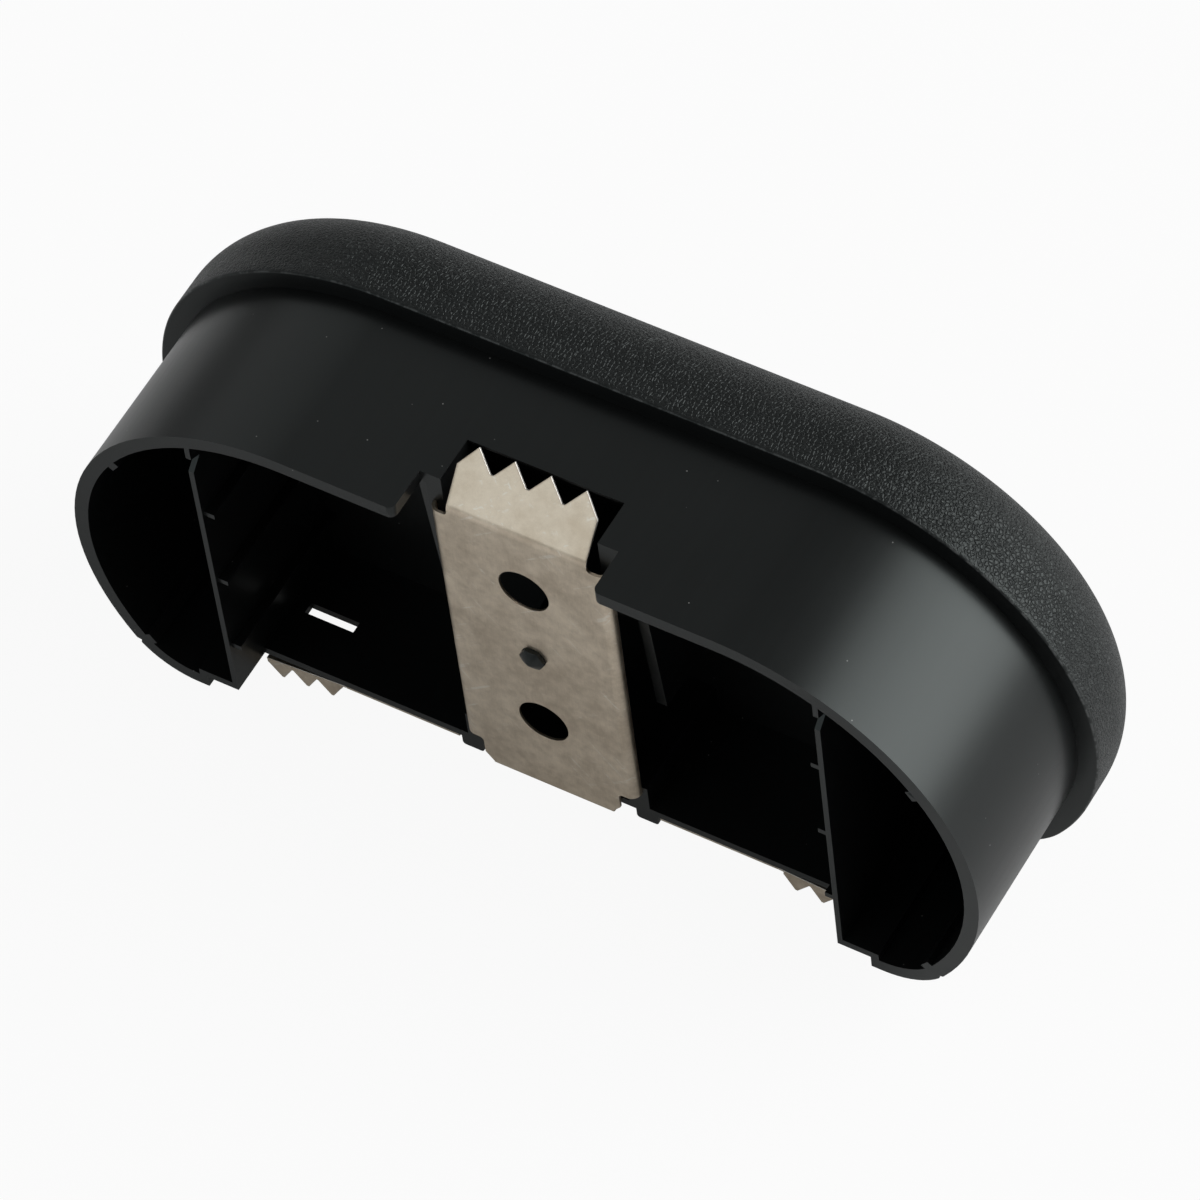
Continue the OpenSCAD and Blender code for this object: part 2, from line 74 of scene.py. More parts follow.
class Wire:
    """A node's output socket that adds Math nodes when it is used in an expression."""

    def __init__(self, bench: "Bench", socket: bpy.types.NodeSocket) -> None:
        """Keeps the bench that owns the socket, and the socket."""
        self.bench = bench
        self.socket = socket

    def _math(self, operation: str, *values: Any) -> "Wire":
        """Adds one Math node.

        Args:
            operation: The Math node's operation.
            values: Its inputs, as numbers or wires.

        Returns:
            The node's result.
        """
        return self.bench.node("ShaderNodeMath", {"operation": operation}, dict(enumerate(values)))

    def __add__(self, other: Any) -> "Wire":
        """Sum."""
        return self._math("ADD", self, other)

    def __radd__(self, other: Any) -> "Wire":
        """Sum, reflected."""
        return self._math("ADD", other, self)

    def __sub__(self, other: Any) -> "Wire":
        """Difference."""
        return self._math("SUBTRACT", self, other)

    def __rsub__(self, other: Any) -> "Wire":
        """Difference, reflected."""
        return self._math("SUBTRACT", other, self)

    def __mul__(self, other: Any) -> "Wire":
        """Product."""
        return self._math("MULTIPLY", self, other)

    def __rmul__(self, other: Any) -> "Wire":
        """Product, reflected."""
        return self._math("MULTIPLY", other, self)

    def smooth_step(self, low: float, high: float) -> "Wire":
        """A soft step from 0 at low to 1 at high.

        Args:
            low: Value at which the result is 0.
            high: Value at which the result is 1.

        Returns:
            The stepped value.
        """
        settings = {"interpolation_type": "SMOOTHSTEP"}
        values = {"Value": self, "From Min": low, "From Max": high}
        return self.bench.node("ShaderNodeMapRange", settings, values)


class Bench:
    """Node tree of one material, with one method that adds every node."""

    def __init__(self, name: str) -> None:
        """Makes an empty material of that name."""
        self.material = bpy.data.materials.new(name)
        self.material.use_nodes = True
        self.tree = self.material.node_tree
        self.tree.nodes.clear()
        self.output = self.tree.nodes.new("ShaderNodeOutputMaterial")

    def node(self, kind: str, settings: dict[str, Any] | None = None,
             values: dict[Any, Any] | None = None, out: Any = 0) -> Wire:
        """Adds a node.

        Args:
            kind: The node's type.
            settings: Attributes set first, such as an operation.
            values: Input sockets by name or number, as numbers, tuples or wires.
            out: Name or number of the output that is handed back.

        Returns:
            The chosen output.
        """
        made = self.tree.nodes.new(kind)
        for key, value in (settings or {}).items():
            setattr(made, key, value)
        for key, value in (values or {}).items():
            if isinstance(value, Wire):
                self.tree.links.new(value.socket, made.inputs[key])
            elif isinstance(value, tuple) and len(value) == 3 and made.inputs[key].type == "RGBA":
                made.inputs[key].default_value = (*value, 1.0)
            else:
                made.inputs[key].default_value = value
        return Wire(self, made.outputs[out])

    def place(self, scale: Triple = (1.0, 1.0, 1.0), turn: Triple = (0.0, 0.0, 0.0)) -> Wire:
        """Object coordinates, turned and then stretched.

        Args:
            scale: Factor along X, Y and Z.
            turn: Turn about X, Y and Z, in radians.

        Returns:
            The vector.
        """
        spot = self.node("ShaderNodeTexCoord", out="Object")
        if any(turn):
            spot = self.node("ShaderNodeVectorRotate", {"rotation_type": "EULER_XYZ"},
                             {"Vector": spot, "Rotation": turn})
        return self.node("ShaderNodeMapping", values={"Vector": spot, "Scale": scale})

    def noise(self, scale: float, detail: float = 2.0, rough: float = 0.5,
              stretch: Triple = (1.0, 1.0, 1.0), turn: Triple = (0.0, 0.0, 0.0)) -> Wire:
        """Noise on Object coordinates.

        Args:
            scale: Features per metre.
            detail: Octaves.
            rough: How much the fine octaves count.
            stretch: Factor along X, Y and Z.
            turn: Turn about X, Y and Z, in radians.

        Returns:
            The noise value, from 0 to 1.
        """
        values = {"Vector": self.place(stretch, turn), "Scale": scale, "Detail": detail, "Roughness": rough}
        return self.node("ShaderNodeTexNoise", values=values)

    def cells(self, scale: float, feature: str, warp: Wire | None = None) -> Wire:
        """Cell pattern on Object coordinates.

        Args:
            scale: Cells per metre.
            feature: The Voronoi feature.
            warp: Vector to read in place of Object coordinates.

        Returns:
            The distance.
        """
        values = {"Vector": warp or self.place(), "Scale": scale}
        return self.node("ShaderNodeTexVoronoi", {"feature": feature}, values, "Distance")

    def blend(self, share: Any, low: Any, high: Any) -> Wire:
        """Mixes two colours.

        Args:
            share: 0 for low, 1 for high.
            low: First colour.
            high: Second colour.

        Returns:
            The mixed colour.
        """
        made = self.tree.nodes.new("ShaderNodeMix")
        made.data_type = "RGBA"
        sockets = [s for s in made.inputs if s.type == "RGBA"]
        for socket, value in ((made.inputs[0], share), (sockets[0], low), (sockets[1], high)):
            if isinstance(value, Wire):
                self.tree.links.new(value.socket, socket)
            elif isinstance(value, tuple):
                socket.default_value = (*value, 1.0)
            else:
                socket.default_value = value
        return Wire(self, next(s for s in made.outputs if s.type == "RGBA"))

    def bump(self, height: Wire, depth: float, strength: float = 1.0) -> Wire:
        """Turns a height into a normal.

        Args:
            height: Height, from 0 to 1.
            depth: Depth of a height of 1, in metres.
            strength: Strength of the bump.

        Returns:
            The normal.
        """
        values = {"Height": height, "Distance": depth, "Strength": strength}
        return self.node("ShaderNodeBump", values=values, out="Normal")

    def finish(self, **sockets: Any) -> bpy.types.Material:
        """Adds the surface shader and wires it to the output.

        Args:
            sockets: The shader's inputs, with _ for a space.

        Returns:
            The finished material.
        """
        values = {key.replace("_", " "): value for key, value in sockets.items()}
        surface = self.node("ShaderNodeBsdfPrincipled", values=values)
        self.tree.links.new(surface.socket, self.output.inputs["Surface"])
        return self.material


# ---------------------------------------------------------------- finishes


@dataclass(frozen=True)
class LeatherGrain:
    """Fine-grained black cover of the cap."""

    dark: Rgb = (0.0026, 0.0028, 0.0030)
    # the light colour is painted on the pebble crowns as glints, and a little in random patches
    light: Rgb = (0.034, 0.036, 0.037)
    # colour of the painted highlight line along the lip
    lip_glint: Rgb = (0.085, 0.088, 0.088)
    grain_per_metre: float = 1500.0
    depth: float = 0.19 * MM
    drift_per_metre: float = 260.0
    drift_reach: float = 0.6 * MM
    patches_per_metre: float = 70.0
    lip_glints_per_metre: float = 900.0

    def material(self) -> bpy.types.Material:
        """Builds pebbles with creases between them, in clumps, with crowns painted lighter as glints, and a painted
        highlight line along the lip.

        The pebbles fade out where the grain attribute is 0, and the line shows where the lip attribute is 1.

        Returns:
            The material.
        """
        bench = Bench("leather_grain")
        drift = bench.node("ShaderNodeTexNoise", out="Color", values={
            "Vector": bench.place(), "Scale": self.drift_per_metre, "Detail": 2.0})
        warp = bench.node("ShaderNodeVectorMath", {"operation": "MULTIPLY_ADD"},
                          {0: drift, 1: (self.drift_reach,) * 3, 2: bench.place()})
        creases = bench.cells(self.grain_per_metre, "DISTANCE_TO_EDGE", warp).smooth_step(0.0, 0.22)
        pebbles = 1.0 - bench.cells(self.grain_per_metre * 1.45, "F1", warp)
        mask = bench.node("ShaderNodeAttribute", {"attribute_name": "grain"}, out="Fac")
        lip = bench.node("ShaderNodeAttribute", {"attribute_name": "lip"}, out="Fac")
        height = (creases * 0.7 + pebbles * 0.5) * mask
        patches = bench.noise(self.patches_per_metre, 3.0)
        # painted highlight: pebble crowns in clumps are painted lighter as glints, and the creases between them
        # stay dark as painted shade
        clumps = (1.0 - bench.cells(self.grain_per_metre * 0.6, "F1", warp)).smooth_step(0.45, 0.80)
        crowns = pebbles.smooth_step(0.50, 0.85) * creases * (clumps * 0.75 + 0.25) * mask
        colour = bench.blend(crowns * 0.80 + patches * 0.10, self.dark, self.light)
        # painted highlight: a pale broken line on the lip arc, standing in for light caught by the lip's edge; the
        # lip is also a little smoother there
        painted_glint = lip * bench.noise(self.lip_glints_per_metre).smooth_step(0.40, 0.62)
        colour = bench.blend(painted_glint * 0.8, colour, self.lip_glint)
        roughness = 0.45 - crowns * 0.22 + (patches - 0.5) * 0.08 - painted_glint * 0.10
        return bench.finish(Base_Color=colour, Roughness=roughness, Specular_IOR_Level=0.42,
                            Specular_Tint=COOL_GLOSS, Normal=bench.bump(height, self.depth, 1.0))


@dataclass(frozen=True)
class MouldedPlastic:
    """Satin black moulding with faint flow marks and a fine orange peel."""

    dark: Rgb = (0.0036, 0.0038, 0.0039)
    light: Rgb = (0.0080, 0.0085, 0.0087)
    dust: Rgb = (0.30, 0.30, 0.29)
    roughness: float = 0.31
    flow_per_metre: float = 28.0
    draw_per_metre: float = 60.0
    peel_per_metre: float = 2400.0
    scuffs_per_metre: float = 420.0
    dust_per_metre: float = 300.0
    peel_depth: float = 0.01 * MM

    def material(self) -> bpy.types.Material:
        """Builds flow marks, draw marks along the depth, scuffs, a peel and a few specks of dust.

        Returns:
            The material.
        """
        bench = Bench("moulded_plastic")
        flow = bench.noise(self.flow_per_metre, 4.0, 0.55)
        draw = bench.noise(self.draw_per_metre, 3.0, 0.6, (14.0, 0.5, 14.0))
        peel = bench.noise(self.peel_per_metre)
        scuffs = bench.noise(self.scuffs_per_metre, 5.0, 0.7, (1.0, 5.0, 1.0)).smooth_step(0.62, 0.78)
        specks = 1.0 - bench.cells(self.dust_per_metre, "F1").smooth_step(0.02, 0.04)
        colour = bench.blend(flow * 0.7 + draw * 0.3, self.dark, self.light)
        colour = bench.blend(specks * 0.8, colour, self.dust)
        roughness = self.roughness + (flow - 0.5) * 0.08 + (draw - 0.5) * 0.05 + scuffs * 0.08
        height = peel * 0.6 + draw * 0.4
        return bench.finish(Base_Color=colour, Roughness=roughness, Specular_IOR_Level=0.38,
                            Specular_Tint=COOL_GLOSS, Normal=bench.bump(height, self.peel_depth, 0.6))


@dataclass(frozen=True)
class PaintedEdgeGlint:
    """Rounded edge of the moulding, painted paler in stretches as a highlight, and smoother in places."""

    dark: Rgb = (0.020, 0.021, 0.021)
    light: Rgb = (0.125, 0.130, 0.128)
    stretches_per_metre: float = 45.0
    flecks_per_metre: float = 900.0

    def material(self) -> bpy.types.Material:
        """Builds stretches of painted highlight along the edge.

        Returns:
            The material.
        """
        bench = Bench("painted_edge_glint")
        stretch = bench.noise(self.stretches_per_metre, 3.0, 0.6).smooth_step(0.35, 0.65)
        flecks = bench.noise(self.flecks_per_metre)
        # painted highlight: the edge colour is lighter in stretches and flecks, standing in for light caught by the
        # rounded edge
        colour = bench.blend(stretch * 0.6 + flecks * 0.3, self.dark, self.light)
        return bench.finish(Base_Color=colour, Roughness=0.42 - stretch * 0.10, Specular_IOR_Level=0.5,
                            Specular_Tint=COOL_GLOSS)


@dataclass(frozen=True)
class MillSteel:
    """Mill-finish spring steel with cloudy patches and rolling lines."""

    name: str
    low: Rgb = (0.55, 0.455, 0.345)
    high: Rgb = (0.90, 0.79, 0.64)
    scored: Rgb = (0.92, 0.88, 0.80)
    roughness: float = 0.38
    lines: Triple = (10.0, 10.0, 0.6)
    clouds_per_metre: float = 130.0
    mottle_per_metre: float = 620.0
    rolling_per_metre: float = 900.0
    pits_per_metre: float = 3800.0
    scratches_per_metre: float = 1500.0
    hairlines_per_metre: float = 1900.0
    relief: float = 0.012 * MM

    def material(self) -> bpy.types.Material:
        """Builds clouds, mottling, rolling lines, pits and two sets of slanting scratches.

        Returns:
            The material.
        """
        bench = Bench(self.name)
        clouds = bench.noise(self.clouds_per_metre, 6.0, 0.68)
        mottle = bench.noise(self.mottle_per_metre, 4.0, 0.6)
        rolling = bench.noise(self.rolling_per_metre, stretch=self.lines)
        pits = bench.noise(self.pits_per_metre)
        scratches = bench.noise(self.scratches_per_metre, 1.0, 0.5, (1.0, 1.0, 0.05), (0.0, 0.9, 0.0))
        hairlines = bench.noise(self.hairlines_per_metre, 1.0, 0.5, (1.0, 1.0, 0.04), (0.0, -0.7, 0.0))
        scores = scratches.smooth_step(0.65, 0.71) + hairlines.smooth_step(0.66, 0.72)
        scores = scores * clouds.smooth_step(0.46, 0.60)
        tone = clouds * 0.75 + mottle * 0.35 + rolling * 0.15
        colour = bench.blend(tone.smooth_step(0.35, 0.90), self.low, self.high)
        colour = bench.blend(scores * 0.50, colour, self.scored)
        roughness = self.roughness + (clouds - 0.5) * 0.24 + (mottle - 0.5) * 0.12 + (rolling - 0.5) * 0.08
        height = rolling * 0.4 + pits * 0.4 + clouds * 0.2 - scores * 0.3
        return bench.finish(Base_Color=colour, Metallic=1.0, Roughness=roughness,
                            Normal=bench.bump(height, self.relief, 0.5))


@dataclass(frozen=True)
class CutSteel:
    """Bright sheared edge of the strip."""

    low: Rgb = (0.55, 0.53, 0.49)
    high: Rgb = (0.88, 0.86, 0.82)
    shear_per_metre: float = 1600.0

    def material(self) -> bpy.types.Material:
        """Builds shear marks.

        Returns:
            The material.
        """
        bench = Bench("cut_steel")
        shear = bench.noise(self.shear_per_metre)
        colour = bench.blend(shear, self.low, self.high)
        return bench.finish(Base_Color=colour, Metallic=1.0, Roughness=0.30 + shear * 0.15)


@dataclass(frozen=True)
class StudioWhite:
    """White floor that shows plain white to the camera and keeps a soft shadow."""

    colour: Rgb = (0.76, 0.76, 0.76)
    share: float = 0.93
    gloss_share: float = 0.10

    def material(self) -> bpy.types.Material:
        """Mixes a lit floor with a plain white one, by the kind of ray.

        Returns:
            The material.
        """
        bench = Bench("studio_white")
        ray = bench.node("ShaderNodeLightPath", out="Is Camera Ray")
        gloss = bench.node("ShaderNodeLightPath", out="Is Glossy Ray")
        lit = bench.node("ShaderNodeBsdfDiffuse", values={"Color": self.colour})
        plain = bench.node("ShaderNodeEmission", values={"Color": WHITE, "Strength": 1.0})
        factor = ray * self.share + gloss * self.gloss_share
        mixed = bench.node("ShaderNodeMixShader", values={0: factor, 1: lit, 2: plain})
        bench.tree.links.new(mixed.socket, bench.output.inputs["Surface"])
        return bench.material


# ---------------------------------------------------------------- mesh helpers


def add_mesh(name: str, points: np.ndarray, faces: list[tuple[int, ...]]) -> bpy.types.Object:
    """Makes an object from points and faces.

    Args:
        name: The object's name.
        points: One row of X, Y and Z per point, in metres.
        faces: Point numbers of each face.

    Returns:
        The object, linked to the scene.
    """
    mesh = bpy.data.meshes.new(name)
    mesh.from_pydata(points.tolist(), [], faces)
    mesh.update()
    made = bpy.data.objects.new(name, mesh)
    bpy.context.scene.collection.objects.link(made)
    return made


def grid_faces(rows: int, columns: int, first: int = 0) -> np.ndarray:
    """Faces of a grid whose columns close into a ring.

    The face at row i and column j joins points (i, j), (i, j+1), (i+1, j+1) and (i+1, j), with j+1 taken
    modulo the number of columns.

    Args:
        rows: Rows of points.
        columns: Points in each row.
        first: Number of the first point.

    Returns:
        Four point numbers per face.
    """
    i, j = np.meshgrid(np.arange(rows - 1), np.arange(columns), indexing="ij")
    k = (j + 1) % columns
    corners = (i * columns + j, i * columns + k, (i + 1) * columns + k, (i + 1) * columns + j)
    return np.stack(corners, axis=-1).reshape(-1, 4) + first


def close_up(piece: bpy.types.Object, distance: float) -> None:
    """Merges doubles, drops faces without area, points the faces outwards and smooths them.

    Args:
        piece: The object.
        distance: Distance within which points merge.
    """
    bm = bmesh.new()
    bm.from_mesh(piece.data)
    bmesh.ops.remove_doubles(bm, verts=bm.verts, dist=distance)
    bmesh.ops.dissolve_degenerate(bm, edges=bm.edges, dist=distance * 0.1)
    bmesh.ops.recalc_face_normals(bm, faces=bm.faces)
    bm.to_mesh(piece.data)
    bm.free()
    piece.data.shade_smooth()


def round_edges(piece: bpy.types.Object, radius: float, angle: float, material: int = -1,
                weight: int = 50) -> None:
    """Rounds the sharp edges and keeps the flat faces flat.

    Args:
        piece: The object.
        radius: Width of the rounding.
        angle: Least angle of an edge that is rounded.
        material: Material number of the rounding, or -1 for that of the faces beside it.
        weight: How much larger faces count in the normals, from 1 to 100.
    """
    bevel = piece.modifiers.new("edge_rounding", "BEVEL")
    bevel.width = radius
    bevel.segments = 2
    bevel.limit_method = "ANGLE"
    bevel.angle_limit = angle
    bevel.material = material
    weigh = piece.modifiers.new("flat_faces", "WEIGHTED_NORMAL")
    weigh.keep_sharp = True
    weigh.weight = weight


# ---------------------------------------------------------------- outline


@dataclass
class Outline:
    """Rounded outline of the housing, in millimetres, seen along the depth.

    Round ends of end_r stand on the centres (end_x, 0) and (-end_x, 0). Lower corners of corner_r stand on
    (corner_x, corner_y) and its mirror. Straight walls join them.
    """

    end_x: float = 36.16
    end_r: float = 41.34
    corner_x: float = 59.82
    corner_y: float = -15.6
    corner_r: float = 13.0
    base: float = 32.0

    def ring(self, spacing: float = 0.8) -> tuple[np.ndarray, np.ndarray]:
        """Points and outward normals round the outline.

        Each arc's point is its centre plus its radius times the normal, and each straight wall's points run
        evenly between its ends.

        Args:
            spacing: Distance between points.

        Returns:
            Points and normals, one row of x and y per point.
        """
        turn = math.atan2(self.corner_y, self.corner_x - self.end_x)
        top, low = self.end_r, self.corner_y - self.corner_r
        points: list[np.ndarray] = []
        normals: list[np.ndarray] = []

        def straight(start: Pair, end: Pair, normal: Pair) -> None:
            """Adds a straight wall.

            Args:
                start: First point.
                end: Last point, which is left out.
                normal: The wall's outward normal.
            """
            count = max(2, int(math.hypot(end[0] - start[0], end[1] - start[1]) / spacing))
            share = np.arange(count)[:, None] / count
            points.append(np.array(start) * (1 - share) + np.array(end) * share)
            normals.append(np.tile(normal, (count, 1)))

        def arc(centre: Pair, radius: float, start: float, end: float) -> None:
            """Adds an arc.

            Args:
                centre: Its centre.
                radius: Its radius.
                start: Angle of the first point.
                end: Angle of the last point, which is left out.
            """
            count = max(2, int(abs(end - start) * radius / spacing))
            angle = start + (end - start) * np.arange(count) / count
            normal = np.stack((np.cos(angle), np.sin(angle)), axis=1)
            points.append(np.array(centre) + radius * normal)
            normals.append(normal)

        half = math.pi / 2
        straight((-self.end_x, top), (self.end_x, top), (0.0, 1.0))
        arc((self.end_x, 0.0), self.end_r, half, turn)
        arc((self.corner_x, self.corner_y), self.corner_r, turn, -half)
        straight((self.corner_x, low), (-self.corner_x, low), (0.0, -1.0))
        arc((-self.corner_x, self.corner_y), self.corner_r, -half, -math.pi - turn)
        arc((-self.end_x, 0.0), self.end_r, -math.pi - turn, -math.pi - half)
        return np.vstack(points), np.vstack(normals)


# ---------------------------------------------------------------- sub-assemblies


@dataclass
class CapCover:
    """Grained cover of the cap: a profile carried round the outline, closed front and back."""

    outline: Outline = field(default_factory=Outline)
    overhang: float = 3.4
    side_h: float = 5.9
    roll_r: float = 13.0
    lip_r: float = 0.35
    seat_y: float = -6.05
    spine_y: float = 6.0
    fill_rings: int = 11
    finish: LeatherGrain = LeatherGrain()

    def profile(self) -> tuple[np.ndarray, np.ndarray, np.ndarray, np.ndarray]:
        """Section of the cover from the back ring to the flat front.

        The lip is a quarter circle of lip_r, the side runs straight, and the roll is a quarter circle of
        roll_r.

        Returns:
            Offset from the outline, depth below the seat, share of grain and share of the painted lip highlight,
            per point.
        """
        quarter = np.linspace(0.0, math.pi / 2, 7)
        lip_off = self.overhang - self.lip_r + self.lip_r * np.sin(quarter)
        lip_depth = self.lip_r - self.lip_r * np.cos(quarter)
        side_depth = np.linspace(self.lip_r, self.side_h, 6)[1:]
        roll = np.linspace(0.0, math.pi / 2, 29)[1:]
        roll_off = self.overhang - self.roll_r + self.roll_r * np.cos(roll)
        roll_depth = self.side_h + self.roll_r * np.sin(roll)
        ring_off = np.array([-0.6, 0.1, 1.4])
        off = np.concatenate((ring_off, lip_off, np.full(5, self.overhang), roll_off))
        depth = np.concatenate((np.zeros(3), lip_depth, side_depth, roll_depth))
        grain = np.clip((depth - 0.25) / 0.5, 0.0, 1.0)
        # the lip share places the painted highlight line, strongest at the middle of the lip arc
        lip = np.concatenate((np.zeros(3), np.sin(2 * quarter) ** 2, np.zeros(len(depth) - 3 - len(quarter))))
        return off, depth, grain, lip

    def build(self) -> bpy.types.Object:
        """Carries the profile round the outline and fills the front and the back with shrinking rings.

        A ring's point is the outline's point plus the offset times its normal. A fill ring's point lies on
        the line from the last ring to the nearest point of the middle line.

        Returns:
            The cover.
        """
        points, normals = self.outline.ring()
        off, depth, grain, lip = self.profile()
        flat = points[None] + off[:, None, None] * normals[None]
        spine = np.stack((np.clip(points[:, 0], -self.outline.end_x, self.outline.end_x),
                          np.full(len(points), self.spine_y)), axis=1)
        shares = np.linspace(0.0, 1.0, self.fill_rings + 1)[1:, None, None]
        front = flat[-1][None] * (1 - shares) + spine[None] * shares
        back = (flat[0][None] * (1 - shares) + spine[None] * shares)[::-1]
        rings = np.concatenate((back, flat, front))
        none, whole = np.zeros(self.fill_rings), np.ones(self.fill_rings)
        depths = np.concatenate((none, depth, whole * depth[-1]))
        count = len(points)
        place = np.empty((len(rings), count, 3))
        place[..., 0] = -rings[..., 0]
        place[..., 1] = (self.seat_y - depths)[:, None]
        place[..., 2] = rings[..., 1] + self.outline.base
        made = add_mesh("cap_cover", place.reshape(-1, 3) * MM, grid_faces(len(rings), count).tolist())
        # lip carries the share of the painted lip highlight
        for name, values in (("grain", (none, grain, whole)), ("lip", (none, lip, none))):
            layer = made.data.attributes.new(name, "FLOAT", "POINT")
            layer.data.foreach_set("value", np.repeat(np.concatenate(values), count).astype(np.float32))
        close_up(made, 0.02 * MM)
        made.data.materials.append(self.finish.material())
        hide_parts("trim_cap")
        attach(made, Body.HOUSING.value)
        return made


@dataclass
class SoftEdged:
    """A moulded or stamped piece whose sharp edges get a small rounding."""

    node: str
    name: str
    body: Body
    slot: str
    radius: float
    top: float | None = None

    def build(self, material: bpy.types.Material, edge: bpy.types.Material) -> bpy.types.Object:
        """Copies the node's mesh, joins its faces and rounds its edges.

        With a top, the points above it come down to it, so that the piece ends there.

        Args:
            material: The piece's material.
            edge: The material of its rounded edges.

        Returns:
            The piece.
        """
        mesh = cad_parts[self.node].data.copy()
        mesh.name = self.name
        made = bpy.data.objects.new(self.name, mesh)
        bpy.context.scene.collection.objects.link(made)
        bm = bmesh.new()
        bm.from_mesh(mesh)
        bmesh.ops.remove_doubles(bm, verts=bm.verts, dist=WELD)
        if self.top is not None:
            for vert in bm.verts:
                vert.co.z = min(vert.co.z, self.top)
            bmesh.ops.dissolve_degenerate(bm, edges=bm.edges, dist=2 * WELD)
            bmesh.ops.remove_doubles(bm, verts=bm.verts, dist=WELD)
        bmesh.ops.dissolve_limit(bm, angle_limit=FLAT_ANGLE, verts=bm.verts, edges=bm.edges,
                                 delimit={"NORMAL"})
        bm.to_mesh(mesh)
        bm.free()
        if "custom_normal" in mesh.attributes:
            mesh.attributes.remove(mesh.attributes["custom_normal"])
        mesh.materials.clear()
        mesh.materials.append(material)
        mesh.materials.append(edge)
        mesh.shade_smooth()
        round_edges(made, self.radius, SHARP_ANGLE, material=1, weight=60)
        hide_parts(self.node)
        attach(made, self.body.value)
        return made


@dataclass
class BarbArm:
    """Toothed end of the cross clip: a strip that leaves the plate flat, bends inwards and ends in teeth."""

    width: float = 23.6
    length: float = 10.6
    thickness: float = 0.5
    tooth_depth: float = 3.3
    pitch: float = 6.0
    teeth: int = 4
    angle: float = 39.3
    bend_r: float = 2.2
    hinge_y: float = 18.6
    hinge_z: float = 69.17
    side_drop: float = 0.3
    valley_half: float = 0.25
    edge_radius: float = 0.06

    @property
    def lead(self) -> float:
        """Distance from the start of the bend to the hinge line: bend_r * tan(angle / 2)."""
        return self.bend_r * math.tan(math.radians(self.angle) / 2)

    @property
    def tips(self) -> np.ndarray:
        """Places of the tooth tips across the strip: a pitch apart, centred."""
        return (np.arange(self.teeth) - (self.teeth - 1) / 2) * self.pitch

    def reach(self, across: np.ndarray) -> np.ndarray:
        """Length of the strip at each place across it, measured from the hinge line.

        Between two tips the end falls by the tooth depth to a short flat, and outside the outer tips it falls
        to the side edges.

        Args:
            across: Places across the strip.

        Returns:
            The lengths.
        """
        floor = self.length - self.tooth_depth
        side = np.array([-self.width / 2, self.width / 2])
        at = np.concatenate((side, self.tips, self.valleys()))
        value = np.concatenate((np.full(2, floor - self.side_drop), np.full(self.teeth, self.length),
                                np.full(2 * self.teeth - 2, floor)))
        order = np.argsort(at)
        return np.interp(across, at[order], value[order])

    def valleys(self) -> np.ndarray:
        """Ends of the short flats between the teeth."""
        middle = (self.tips[:-1] + self.pitch / 2)[:, None]
        return (middle + np.array([-self.valley_half, self.valley_half])).ravel()

    def build(self, material: bpy.types.Material, edge: bpy.types.Material) -> bpy.types.Object:
        """Lays a grid over the strip, bends it along its length and gives it its thickness.

        Along the strip, a point at length s lies on an arc of bend_r until the arc has turned by the angle,
        and on the arc's end tangent after it. The arc starts bend_r * tan(angle / 2) before the hinge line,
        so that the two tangents cross there.

        Args:
            material: The piece's material.
            edge: The material of its cut edges.

        Returns:
            The piece.
        """
        turn = math.radians(self.angle)
        arc = self.bend_r * turn
        even = np.linspace(-self.width / 2, self.width / 2, 49)
        across = np.unique(np.round(np.concatenate((even, self.tips, self.valleys())), 4))
        bend = np.linspace(0.0, arc, 13)
        share = np.linspace(0.0, 1.0, 13)[1:]
        span = (self.reach(across) - self.lead)[None]
        along = np.concatenate((np.repeat(bend[:, None], len(across), 1), arc + share[:, None] * span))
        angle = np.minimum(along, arc) / self.bend_r
        past = np.maximum(along - arc, 0.0)
        inward = self.bend_r * (1 - np.cos(angle)) + past * math.sin(turn)
        upward = self.bend_r * np.sin(angle) + past * math.cos(turn)
        place = np.stack((np.broadcast_to(across, along.shape), self.hinge_y - inward,
                          self.hinge_z - self.lead + upward), axis=-1)
        rows, columns = along.shape
        i, j = np.meshgrid(np.arange(rows - 1), np.arange(columns - 1), indexing="ij")
        quads = np.stack((i * columns + j, i * columns + j + 1, (i + 1) * columns + j + 1,
                          (i + 1) * columns + j), axis=-1).reshape(-1, 4)
        made = add_mesh("barb_arm_sheet", place.reshape(-1, 3) * MM, quads.tolist())
        made.data.materials.append(material)
        made.data.materials.append(edge)
        made.data.shade_smooth()
        sheet = made.modifiers.new("sheet_thickness", "SOLIDIFY")
        sheet.thickness = self.thickness * MM
        sheet.offset = 0.0
        sheet.material_offset_rim = 1
        round_edges(made, self.edge_radius * MM, CUT_ANGLE)
        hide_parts("top_barb_arm")
        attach(made, Body.TOP_ARM.value)
        return made


@dataclass(frozen=True)
class Softbox:
    """A square lamp: its place, its side, its power in watts, the full angle of its beam, and its colour."""

    name: str
    spot: Triple
    size: float
    power: float
    spread: float = 180.0
    tint: Rgb = WHITE

    def build(self, target: Vector) -> None:
        """Adds the lamp.

        Args:
            target: Point that it faces.
        """
        data = bpy.data.lights.new(self.name, "AREA")
        data.size = self.size
        data.energy = self.power
        data.spread = math.radians(self.spread)
        data.color = self.tint
        made = bpy.data.objects.new(self.name, data)
        aim = (target - Vector(self.spot)).to_track_quat("-Z", "Y")
        made.matrix_world = Matrix.Translation(self.spot) @ aim.to_matrix().to_4x4()
        bpy.context.scene.collection.objects.link(made)


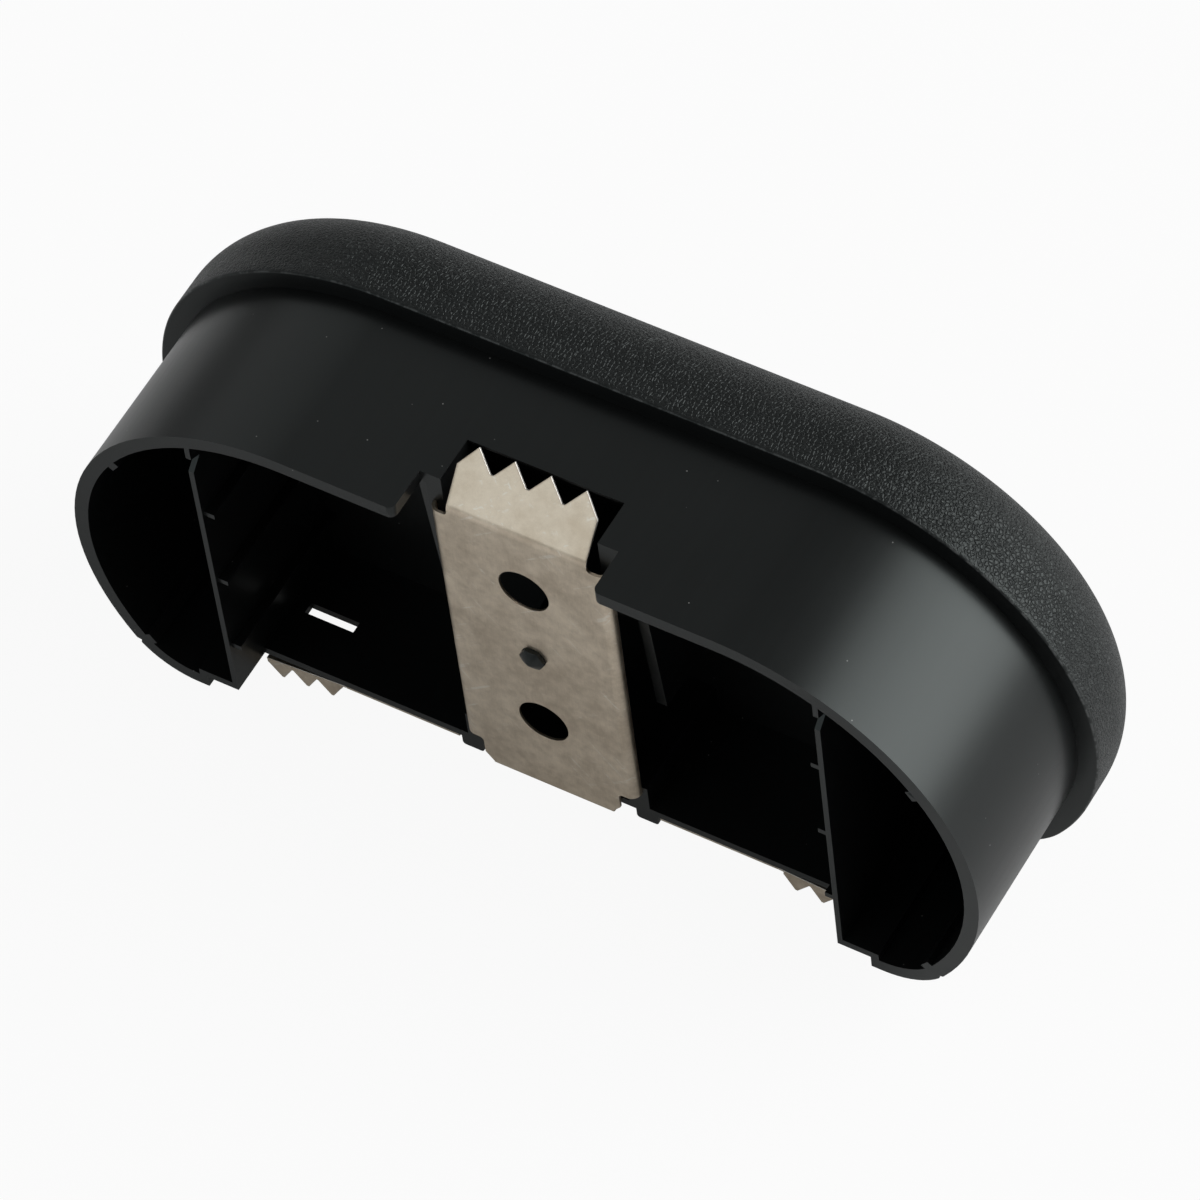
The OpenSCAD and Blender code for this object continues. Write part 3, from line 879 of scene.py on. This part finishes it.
@dataclass
class Studio:
    """Floor, lights and camera."""

    target: Vector = field(default_factory=lambda: Vector((0.0, 0.0, 0.032)))
    spot: Triple = (-0.4196, 0.57575, 0.9987)
    right: Triple = (-0.8670, -0.4912, -0.0838)
    up: Triple = (0.3556, -0.7276, 0.5866)
    lens: float = 240.0
    surround: float = 0.22
    floor_half: float = 6.0
    lamps: tuple[Softbox, ...] = (
        Softbox("side_softbox", (-1.02, -0.61, 0.50), 1.6, 13.0, spread=110.0),
        Softbox("front_softbox", (0.5, 1.2, 0.7), 0.9, 2.2, tint=(0.90, 0.97, 1.0)),
        Softbox("top_softbox", (0.95, -0.58, 0.80), 0.9, 0.9),
    )

    def camera(self) -> bpy.types.Object:
        """Places the camera on its three axes.

        Returns:
            The camera.
        """
        data = bpy.data.cameras.new("camera")
        data.lens = self.lens
        data.sensor_width = 36.0
        data.clip_start = 0.01
        data.clip_end = 50.0
        made = bpy.data.objects.new("camera", data)
        right, up = Vector(self.right).normalized(), Vector(self.up)
        up = (up - right * up.dot(right)).normalized()
        back = right.cross(up)
        turn = Matrix((right, up, back)).transposed().to_4x4()
        made.matrix_world = Matrix.Translation(self.spot) @ turn
        bpy.context.scene.collection.objects.link(made)
        bpy.context.scene.camera = made
        return made

    def floor(self) -> bpy.types.Object:
        """Adds the floor at the object's base.

        Returns:
            The floor.
        """
        corners = np.array([[-1, -1, 0], [1, -1, 0], [1, 1, 0], [-1, 1, 0]]) * self.floor_half
        made = add_mesh("floor", corners, [(0, 1, 2, 3)])
        made.data.materials.append(StudioWhite().material())
        return made

    def world(self) -> None:
        """Sets an even pale surround, plain white to the camera."""
        world = bpy.data.worlds.new("surround")
        world.use_nodes = True
        tree = world.node_tree
        tree.nodes.clear()
        output = tree.nodes.new("ShaderNodeOutputWorld")
        light, plain = (tree.nodes.new("ShaderNodeBackground") for _ in range(2))
        for node, strength in ((light, self.surround), (plain, 1.0)):
            node.inputs["Color"].default_value = (*WHITE, 1.0)
            node.inputs["Strength"].default_value = strength
        mix = tree.nodes.new("ShaderNodeMixShader")
        ray = tree.nodes.new("ShaderNodeLightPath")
        tree.links.new(ray.outputs["Is Camera Ray"], mix.inputs[0])
        tree.links.new(light.outputs[0], mix.inputs[1])
        tree.links.new(plain.outputs[0], mix.inputs[2])
        tree.links.new(mix.outputs[0], output.inputs["Surface"])
        bpy.context.scene.world = world

    def build(self) -> None:
        """Builds the whole studio."""
        self.camera()
        self.floor()
        self.world()
        for lamp in self.lamps:
            lamp.build(self.target)


def main() -> None:
    """Builds the studio and every piece, and logs the points and faces of each piece."""
    bpy.context.scene.view_settings.view_transform = "Standard"
    Studio().build()
    plastic = MouldedPlastic().material()
    plate_steel = MillSteel("plate_steel").material()
    strip_steel = MillSteel("strip_steel", lines=(0.6, 10.0, 10.0)).material()
    # the moulding's rounded edges get a painted highlight
    painted_glint = PaintedEdgeGlint().material()
    cut = CutSteel().material()
    made = [CapCover().build()]
    arm = BarbArm()
    bend_start = (arm.hinge_z - arm.lead) * MM
    parts = (
        (SoftEdged("housing", "housing_moulding", Body.HOUSING, "housing_plastic", 0.14 * MM), plastic, painted_glint),
        (SoftEdged("cross_clip", "cross_clip_sheet", Body.HOUSING, "clip_steel", 0.07 * MM, bend_start),
         plate_steel, plate_steel),
        (arm, plate_steel, cut),
        (SoftEdged("leaf_clip", "leaf_strip", Body.HOUSING, "leaf_steel", 0.05 * MM), strip_steel, cut),
        (SoftEdged("left_barb_tab", "left_tab_sheet", Body.LEFT_TAB, "leaf_steel", 0.05 * MM), strip_steel, cut),
        (SoftEdged("right_barb_tab", "right_tab_sheet", Body.RIGHT_TAB, "leaf_steel", 0.05 * MM), strip_steel, cut),
    )
    made += [part.build(material, edge) for part, material, edge in parts]
    for piece in made:
        log.info("%s: %d points, %d faces", piece.name, len(piece.data.vertices), len(piece.data.polygons))


if __name__ == "__main__":
    main()
